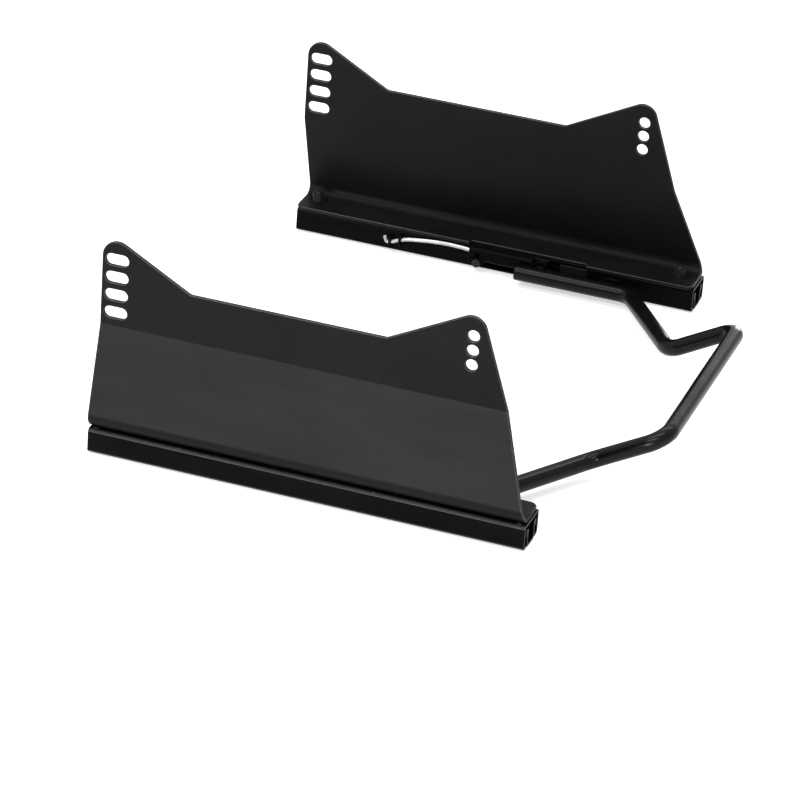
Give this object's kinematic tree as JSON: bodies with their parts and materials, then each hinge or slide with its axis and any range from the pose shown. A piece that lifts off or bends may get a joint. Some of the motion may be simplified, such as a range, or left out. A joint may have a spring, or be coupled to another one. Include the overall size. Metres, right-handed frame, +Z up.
{
  "type": "seat slide rail",
  "caption": "Pair of seat slide rails with tall folded side brackets, slots and holes for the seat's bolts, a sprung latch on each rail and a bent release bar joining them.",
  "frame": {"origin": "on the floor, in the middle of the four floor bolt holes", "axes": "+X forward along the rails, towards the release bar's grip; +Y to the sitter's left; +Z up"},
  "size_m": [0.4362, 0.4954, 0.1772],
  "materials": {
    "rail_steel": "black electrocoat, satin",
    "bracket_coat": "black powder coat, satin",
    "lever_coat": "black electrocoat, satin",
    "bar_coat": "black powder coat, satin",
    "fastener_black": "black oxide",
    "spring_zinc": "bright zinc",
    "glide_plastic": "moulded acetal"
  },
  "bodies": {
    "floor_rails": {"left_lower_rail": "rail_steel", "right_lower_rail": "rail_steel"},
    "seat_carriage": {"left_upper_rail": "rail_steel", "left_side_bracket": "bracket_coat", "left_rail_studs": "fastener_black", "left_stud_washers": "fastener_black", "left_stud_nuts": "fastener_black", "left_pivot_pin": "fastener_black", "left_guide_rivet": "fastener_black", "left_latch_spring": "spring_zinc", "left_front_outer_glide": "glide_plastic", "left_front_inner_glide": "glide_plastic", "left_rear_outer_glide": "glide_plastic", "left_rear_inner_glide": "glide_plastic", "right_upper_rail": "rail_steel", "right_side_bracket": "bracket_coat", "right_rail_studs": "fastener_black", "right_stud_washers": "fastener_black", "right_stud_nuts": "fastener_black", "right_pivot_pin": "fastener_black", "right_guide_rivet": "fastener_black", "right_latch_spring": "spring_zinc", "right_front_outer_glide": "glide_plastic", "right_front_inner_glide": "glide_plastic", "right_rear_outer_glide": "glide_plastic", "right_rear_inner_glide": "glide_plastic"},
    "release_handle": {"release_bar": "bar_coat", "left_latch_lever": "lever_coat", "right_latch_lever": "lever_coat"}
  },
  "joints": [
    {"name": "seat_slide", "type": "slide", "parent": "floor_rails", "child": "seat_carriage", "axis": [1, 0, 0], "range_m": [-0.09, 0.09]},
    {"name": "release_lift", "type": "hinge", "parent": "seat_carriage", "child": "release_handle", "pos_m": [0.0455, 0, 0.0158], "axis": [0, -1, 0], "range_deg": [0, 7], "stiffness_Nm_per_rad": 8, "springref_deg": -14.32, "deforming": ["left_latch_spring", "right_latch_spring"]}
  ]
}
